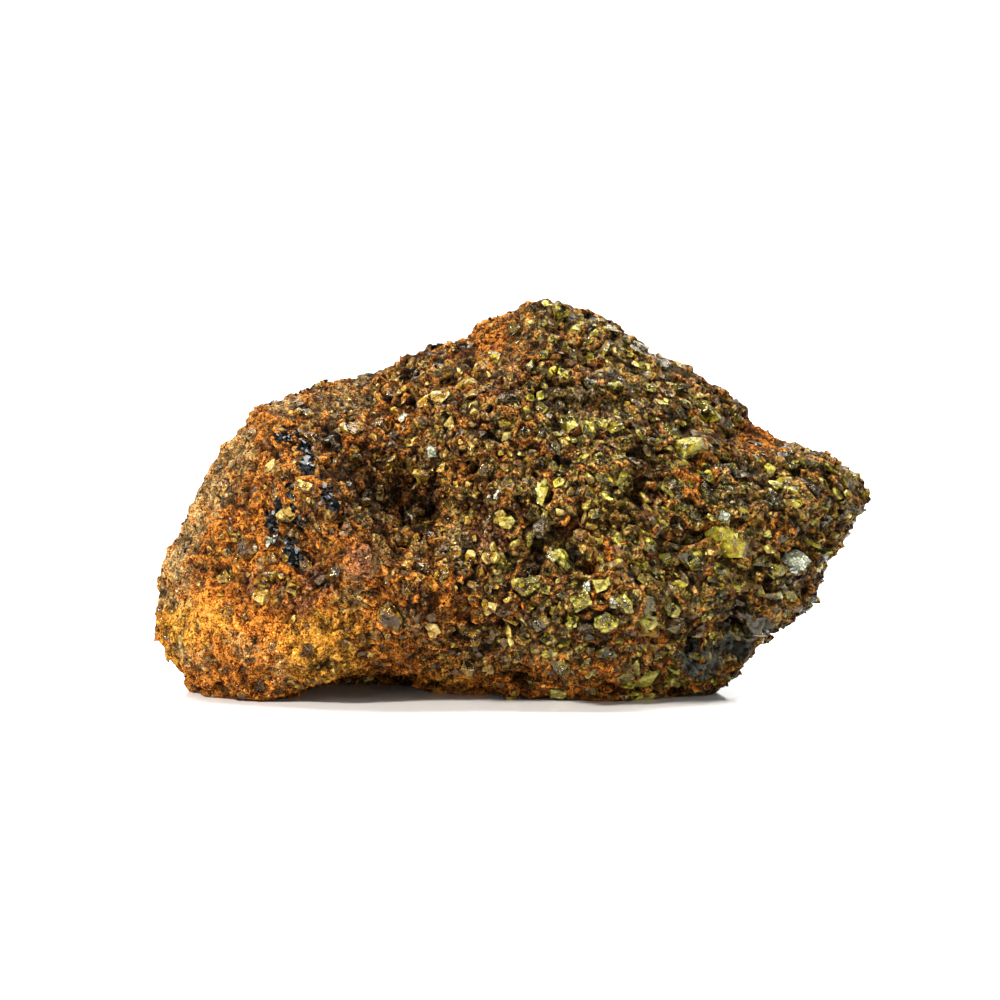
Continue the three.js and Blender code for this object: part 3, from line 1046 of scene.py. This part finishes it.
def rust_wall(rng):
    """A thin ragged plate that curves around a crystal of radius 1 and stands along Z."""
    bpy.ops.mesh.primitive_grid_add(x_subdivisions=3, y_subdivisions=2, size=2)
    plate = bpy.context.view_layer.objects.active
    flat = points_of(plate)
    angle = flat[:, 0] * rng.uniform(0.35, 0.8) + rng.uniform(-0.14, 0.14, len(flat))
    reach = 1.0 + rng.uniform(-0.1, 0.2, len(flat))
    height = flat[:, 1] * 0.45 + rng.uniform(-0.38, 0.38, len(flat))
    move_points(plate, np.column_stack([np.cos(angle) * reach, np.sin(angle) * reach, height]))
    wall = plate.modifiers.new("wall", "SOLIDIFY")
    wall.thickness = rng.uniform(0.07, 0.16)
    wall.offset = 0
    select(plate)
    bpy.ops.object.modifier_apply(modifier=wall.name)
    return take_apart(plate)


def turned(rng):
    """A random rotation as a 3 by 3 matrix."""
    q = rng.normal(size=4)
    w, x, y, z = q / np.linalg.norm(q)
    return np.array(
        [
            [1 - 2 * (y * y + z * z), 2 * (x * y - z * w), 2 * (x * z + y * w)],
            [2 * (x * y + z * w), 1 - 2 * (x * x + z * z), 2 * (y * z - x * w)],
            [2 * (x * z - y * w), 2 * (y * z + x * w), 1 - 2 * (x * x + y * y)],
        ]
    )


def upright(normal, rng):
    """Three directions as columns: two at random across the normal, then the normal."""
    return frame_on(normal, np.cross(normal, rng.normal(size=3)))


def lying(place, normal, rng):
    """As upright, but where the crystals flow, the first direction follows the flow more or less."""
    share = smooth_step(place[0], *FLOWING)
    side = rng.normal(size=3) * (1 - 0.75 * share) + FLOW * 2 * share
    return frame_on(normal, side - normal * (side @ normal) / (normal @ normal))


def frame_on(normal, side):
    side /= np.linalg.norm(side)
    return np.column_stack([side, np.cross(normal, side), normal])


class Heap:
    """Many small shapes that are joined in one piece."""

    def __init__(self, rng):
        self.rng = rng
        self.points = []
        self.faces = []
        self.tones = []
        self.feet = []
        self.facets = []
        self.hearts = []
        self.count = 0

    def add(self, points, faces, tone, feet, heart=None):
        """Adds a shape: its tone, how near its foot each point is, each point's place around its axis."""
        sides = flat_sides(points, faces)
        self.hearts.append(np.zeros((len(points), 3)) if heart is None else heart)
        self.facets.append(self.rng.random(sides.max() + 1)[sides])
        self.points.append(points)
        self.faces.append(faces + self.count)
        self.tones.append(np.full(len(points), tone))
        self.feet.append(feet)
        self.count += len(points)

    def piece(self, name):
        points = inside_box(np.concatenate(self.points))
        faces = np.concatenate(self.faces)
        mesh = bpy.data.meshes.new(name)
        mesh.vertices.add(len(points))
        mesh.vertices.foreach_set("co", points.reshape(-1))
        mesh.loops.add(faces.size)
        mesh.loops.foreach_set("vertex_index", faces.reshape(-1))
        mesh.polygons.add(len(faces))
        mesh.polygons.foreach_set("loop_start", np.arange(0, faces.size, 3))
        mesh.update(calc_edges=True)
        mesh.shade_flat()
        made = bpy.data.objects.new(name, mesh)
        bpy.context.scene.collection.objects.link(made)
        give(made, "tone", np.concatenate(self.tones))
        give(made, "foot", np.concatenate(self.feet))
        give(made, "facet", np.concatenate(self.facets), "FACE")
        around = made.data.attributes.new("around", "FLOAT_VECTOR", "POINT")
        around.data.foreach_set("vector", np.concatenate(self.hearts).astype(np.float32).reshape(-1))
        paint(made, points)
        return made


def crystals(name, shapes, grains, rng, proud, stretch, extra=None):
    """One piece of many crystals. A grain is place, normal, radius, tone and the share of crust around it.
    proud is how far their tops stand above the body, as a share of their radius. extra is one more shape."""
    heap = Heap(rng)
    if extra:
        heap.add(*extra)
    for place, normal, radius, tone, crust in grains:
        shape, faces = shapes[rng.integers(len(shapes))]
        across = lying(place, normal, rng)
        longer = 1 + (stretch - 1) * smooth_step(place[0], *FLOWING)
        size = np.array([rng.uniform(1, stretch) * longer, rng.uniform(0.85, 1), rng.uniform(0.6, 0.85)])
        local = (shape @ turned(rng).T) * size
        sunk = 0.2 * crust + 0.4 * edge_on(normal)
        local[:, 2] += rng.uniform(*proud) - sunk - local[:, 2].max()
        # foot: the lower part, which the materials paint in shade
        feet = 1 - smooth_step(local[:, 2], -0.55, 0.1)
        # each point's place across the crystal, for its painted dark heart
        heart = local / np.abs(local).max(axis=0) * np.array([1, 1, 0])
        heap.add(place + radius * (local @ across.T), faces, tone, feet, heart)
    return heap.piece(name)


def rust_lumps(spots, surface, rng):
    """Crumbs of rust on the finished surface of the body."""
    shapes = [rust_lump(rng) for _ in range(12)]
    heap = Heap(rng)
    for _, normal, radius, _, i in spots:
        shape, faces = shapes[rng.integers(len(shapes))]
        size = np.array([rng.uniform(1, 1.8), rng.uniform(0.6, 1.0), rng.uniform(0.5, 1.0)])
        local = (shape @ turned(rng).T) * size - np.array([0, 0, rng.uniform(0.2, 0.7)])
        points = surface[i] + radius * (local @ upright(normal, rng).T)
        # its lower part is the foot, which the material paints in shade
        heap.add(points, faces, rng.uniform(0, 1), smooth_step(-local[:, 2], -0.5, 0.3))
    return dress_rust(heap.piece("rust_lumps"))


def rust_walls(spots, rng):
    """Thin ragged walls of rust around the crystals and the open sockets."""
    shapes = [rust_wall(rng) for _ in range(16)]
    heap = Heap(rng)
    for place, normal, radius, kind, *_ in spots:
        for _ in range(rng.poisson(WALL_CHANCES[kind] * (1 - edge_on(normal)))):
            shape, faces = shapes[rng.integers(len(shapes))]
            size = np.array([1, 1, rng.uniform(0.5, 1.1)])
            local = shape * size * rng.uniform(0.96, 1.1) - np.array([0, 0, rng.uniform(0.3, 0.7)])
            tilt = upright(normal + rng.normal(scale=0.25, size=3), rng)
            # the foot, which the material paints in shade
            feet = smooth_step(-local[:, 2], -0.4, 0.4)
            heap.add(place + radius * (local @ tilt.T), faces, rng.uniform(0.3, 1), feet)
    return dress_rust(heap.piece("rust_walls"))


def dress_rust(obj):
    """Tells loose rust how much crust it lies in."""
    give(obj, "crust", patches(points_of(obj), CRUSTS))
    return obj


def olivine(name, through, rough, gloss, stain, clear=False):
    """Yellow-green crystal. through is the share of light that passes, stain how much rust clings to it."""
    tree = Tree(name)
    tone = tree.attribute("tone")
    foot = tree.attribute("foot")
    facet = tree.attribute("facet")
    flaws = tree.noise(0.6 * MM, 3, 0.7, shift=2.2)
    micro = tree.noise(0.24 * MM, 2, 0.7, shift=3.3)
    film = tree.noise(1.6 * MM, 4, 0.6, shift=8.1)
    broad = tree.noise(11 * MM, 3, shift=5.5)
    chip, chip_tone, _, chip_edge = tree.cells(1.0 * MM, 0.6 * MM, 0.5)
    mottling = (flaws - 0.5) * 0.6 + (micro - 0.5) * 0.5 + (chip_tone - 0.5) * 0.5
    # A painted dark heart and lighter rim stand for the light that passes through the crystal; the colour is
    # also darker towards the foot, as painted shade
    around = tree.node("Attribute", {"attribute_name": "around"}, out=1)
    reach = tree.node("VectorMath", {"operation": "LENGTH"}, {0: around}, out=1)
    heart = tree.step(0 - reach + (film - 0.5) * 1.4, -0.85, -0.35)
    shade = tone + (facet - 0.5) * 0.5 + mottling - foot * 0.1 - heart * 0.36 + 0.12
    green = tree.step(tree.attribute("green") + (broad - 0.5) * 1.4, 0.2, 0.8)
    body = tree.mix(green, tree.ramp(shade, AMBER_TONES), tree.ramp(shade, OLIVINE_TONES))
    body = tree.mix(tree.step(0 - chip_edge, -0.1, -0.01) * 0.2, body, DARK_RUST_AND_SHADE)
    rusty = tree.step(film + foot * 0.35 + (broad - 0.5) * 0.9 - (1 - stain) * 0.15, 0.52, 0.6) * stain
    base = tree.mix(rusty, body, tree.ramp(flaws, FILM_TONES))
    # painted shade at the foot
    base = tree.mix(foot * 0.92, darkened_and_shaded(tree, base), DARK_RUST_AND_SHADE)
    relief = tree.bump(chip + (flaws - 0.5) * (0.14 * MM) + (micro - 0.5) * (0.05 * MM), 1.0)
    inputs = {
        "Base Color": base,
        "Roughness": rusty * 0.5 + rough,
        "IOR": OLIVINE_IOR,
        "Specular IOR Level": gloss,
        "Specular Tint": WARM,
        "Transmission Weight": through,
        "Normal": relief,
    }
    inside = None
    if clear:
        inside = tree.node("VolumeAbsorption", inputs={"Color": CLEAR_TINT, "Density": CLEAR_LOSS})
    return tree.finish(inputs, inside)


def black_shine():
    """Blue-black iron oxide with bright faces."""
    tree = Tree("black_shine")
    facet = tree.attribute("facet")
    base = tree.ramp(facet, [(0.3, "#010202"), (0.9, "#060B10")])
    inputs = {"Base Color": base, "Roughness": facet * 0.2 + 0.1, "IOR": 1.4}
    return tree.finish(inputs)


def pale_shine():
    """Pale crystal, silvery where it is broken."""
    tree = Tree("pale_shine")
    flaws = tree.noise(0.7 * MM, 3, 0.7)
    chip, chip_tone, _, chip_edge = tree.cells(1.1 * MM, 0.6 * MM, 0.6)
    shade = tree.attribute("facet") * 0.25 + flaws * 0.9 + chip_tone * 0.4 - 0.12
    base = tree.ramp(shade, PALE_TONES)
    cracked = tree.step(0 - chip_edge, -0.14, -0.02)
    # dark cracks, and painted shade at the foot
    base = tree.mix(cracked * 0.7 + tree.attribute("foot") * 0.3, base, DARK_RUST_AND_SHADE)
    relief = tree.bump(chip + flaws * (0.2 * MM), 1.0)
    inputs = {
        "Base Color": base,
        "Roughness": 0.15,
        "IOR": OLIVINE_IOR,
        "Transmission Weight": 0.1,
        "Normal": relief,
    }
    return tree.finish(inputs)


def black_ones(tree, shapes, rng):
    """Small black crystals in clusters."""
    grains = []
    for x, seen, spread in BLACK_CLUSTERS:
        wide = spread * BLACK_SPREAD
        marks = [(x + rng.normal(0, wide), seen + rng.normal(0, wide)) for _ in range(BLACK_IN_CLUSTER)]
        for place, normal, _ in spots_by_view(tree, marks):
            grains.append((place, normal, rng.uniform(*BLACK_RADII) * MM, 0.5, 0))
    return crystals("black_crystals", shapes, grains, rng, (0.5, 1.0), 1.2)


# Setting

def floor():
    """A pale floor that curves up behind."""
    bpy.ops.mesh.primitive_plane_add(size=1)
    ground = bpy.context.view_layer.objects.active
    ground.name = "floor"
    ground.scale = (8, 5, 1)
    ground.location = (0, 0.2, 0)
    bpy.ops.object.transform_apply(location=True, scale=True)
    bpy.ops.object.mode_set(mode="EDIT")
    bpy.ops.mesh.select_all(action="DESELECT")
    bpy.ops.object.mode_set(mode="OBJECT")
    for edge in ground.data.edges:
        ends = [ground.data.vertices[v].co.y for v in edge.vertices]
        edge.select = min(ends) > 1
    bpy.ops.object.mode_set(mode="EDIT")
    bpy.ops.mesh.select_mode(type="EDGE")
    bpy.ops.mesh.extrude_region_move(TRANSFORM_OT_translate={"value": (0, 0, 3)})
    bpy.ops.object.mode_set(mode="OBJECT")
    for edge in ground.data.edges:
        ends = [ground.data.vertices[v].co for v in edge.vertices]
        edge.select = all(e.y > 1 and e.z < 0.1 for e in ends)
    bpy.ops.object.mode_set(mode="EDIT")
    bpy.ops.mesh.bevel(offset=1.2, segments=16, affect="EDGES")
    bpy.ops.object.mode_set(mode="OBJECT")
    bpy.ops.object.shade_smooth()
    tree = Tree("pale_floor")
    ground.data.materials.append(tree.finish({"Base Color": (0.9, 0.9, 0.9, 1), "Roughness": 0.12}))


def lamp(name, place, aim, size, power, tint=(1, 1, 1)):
    data = bpy.data.lights.new(name, "AREA")
    data.shape = "DISK"
    data.size = size
    data.energy = power
    data.color = tint
    made = bpy.data.objects.new(name, data)
    made.location = place
    made.rotation_euler = (Vector(aim) - Vector(place)).to_track_quat("-Z", "Y").to_euler()
    bpy.context.scene.collection.objects.link(made)


# The lamps: name, place, size, power, tint
AIM = (0, 0, 0.04)
LAMPS = [
    ("key", (-1.0, -0.85, 0.9), 0.25, 48, (1, 0.95, 0.88)),
    ("fill", (0.8, -1.2, 0.3), 0.9, 3, (1, 0.95, 0.9)),
    ("low", (0.25, -1.1, 0.07), 0.12, 2.5, (1, 0.9, 0.78)),
    ("back", (0.3, 0.9, 0.9), 0.8, 8, (1, 1, 1)),
]
# Where small lamps stand that make the crystals glint
SPARKS = [(-0.5, -1.1, 0.35), (0.6, -0.9, 0.75), (0.0, -0.5, 1.1), (-0.8, -0.9, 0.1), (0.2, -1.1, 0.9)]
SPARK_SIZE = 0.04
SPARK_POWER = 1.0
ROOM_LIGHT = 0.04


def lights():
    for name, place, size, power, tint in LAMPS:
        lamp(name, place, AIM, size, power, tint)
    for k, place in enumerate(SPARKS):
        lamp(f"spark_{k + 1}", place, AIM, SPARK_SIZE, SPARK_POWER)
    lamp("backdrop", (0, 0.2, 1.8), (0, 2.7, 0.3), 1.5, 120)
    world = bpy.data.worlds.new("white_room")
    world.use_nodes = True
    background = world.node_tree.nodes["Background"]
    background.inputs["Color"].default_value = (1, 1, 1, 1)
    background.inputs["Strength"].default_value = ROOM_LIGHT
    bpy.context.scene.world = world
    bpy.context.scene.view_settings.view_transform = "Standard"


def camera():
    data = bpy.data.cameras.new("camera")
    data.sensor_width = SENSOR
    data.lens = SENSOR * VIEW_DISTANCE / VIEW_WIDTH
    data.clip_start = 0.05
    data.clip_end = 20
    made = bpy.data.objects.new("camera", data)
    made.location = Vector((MIDDLE_X, 0, 0)) + SEEN_UP * MIDDLE_SEEN - SEEN_ALONG * VIEW_DISTANCE
    made.rotation_euler = SEEN_ALONG.to_track_quat("-Z", "Y").to_euler()
    bpy.context.scene.collection.objects.link(made)
    bpy.context.scene.camera = made


# The stone

def view_tree(body):
    """For casting rays onto the body as it is now."""
    return bvhtree.BVHTree.FromObject(body, bpy.context.evaluated_depsgraph_get())


def tone_of(point, rng):
    """A crystal's tone: olive and brown for the most part, with a few bright ones."""
    drift = noise.noise(Vector(point) / (11 * MM)) * 0.16
    return float(np.clip(rng.normal(0.48, 0.17) + drift, 0.12, 0.92))


def stone():
    rng = np.random.default_rng(SEED)
    body = smooth_body()
    crevice = broad_forms(body)
    points = points_of(body)
    normals = normals_of(body)
    tree = view_tree(body)
    crust = crust_share(points)
    pits = [(place, normal, rest[0] * MM) for place, normal, rest in spots_by_view(tree, PITS)]
    named = [(p, n, rest[0] * MM, rest[1] + PAINTED_GLOW, 0) for p, n, rest in spots_by_view(tree, LANDMARKS)]
    pale = [(p, n, rest[0] * MM, rest[1], 0) for p, n, rest in spots_by_view(tree, PALE_ONES)]
    slab_place = spots_by_view(tree, [(CLEAVAGE["x"], CLEAVAGE["seen"])])[0]
    taken = [(p, n, r, "named") for p, n, r, _, _ in named + pale]
    taken.append((slab_place[0], slab_place[1], CLEAVAGE["clear"] * MM, "named"))
    holes = [(p, n, r, "pit") for p, n, r in pits]
    grains = scatter_grains(points, normals, crust, crevice, taken + holes, rng)
    olivines = [g for g in grains if g[3] != "rust"]
    shape_body(body, crust, crevice, taken[:-1] + olivines, pits, slab_place[:2])
    surface = points_of(body)
    thin_out(body)
    body.data.materials.clear()

    broken = [grown_together(rng, 3, 9) for _ in range(10)]
    paired = [grown_together(rng, 2, 8) for _ in range(18)]
    plain = [facetted_shape(rng, 8) for _ in range(18)]
    toned = [(p, n, r, tone_of(p, rng), crust[i], kind) for p, n, r, kind, i in olivines]

    def of_kind(kind):
        return [grain[:5] for grain in toned if grain[5] == kind]

    slab = cleavage_face(*slab_place[:2], rng)
    clear = olivine("clear_olivine", 0.5, 0.05, 0.45, 0.4, True)
    cloudy = olivine("cloudy_olivine", 0.3, 0.1, 0.35, 0.55)
    crumbs_and_walls = loose_rust("loose_rust")
    walled = [g for g in olivines if g[3] in WALL_CHANCES]
    finish = {
        body: rust("rust"),
        crystals("clean_crystals", broken, named, rng, (0.4, 0.65), 1.2, slab): clear,
        crystals("large_crystals", broken, of_kind("large"), rng, (0.25, 0.5), 1.3): clear,
        crystals("middle_crystals", paired, of_kind("middle"), rng, (0.1, 0.4), 1.5): cloudy,
        crystals("small_crystals", plain, of_kind("small"), rng, (0.2, 0.5), 1.6): cloudy,
        crystals("pale_crystals", broken, pale, rng, (0.3, 0.6), 1.2): pale_shine(),
        rust_lumps([g for g in grains if g[3] == "rust"], surface, rng): crumbs_and_walls,
        rust_walls(taken[:-1] + holes + walled, rng): crumbs_and_walls,
        black_ones(tree, plain, rng): black_shine(),
    }
    for piece, material in finish.items():
        piece.data.materials.append(material)
        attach(piece, "root")
        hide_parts("meteorite")


floor()
lights()
camera()
stone()
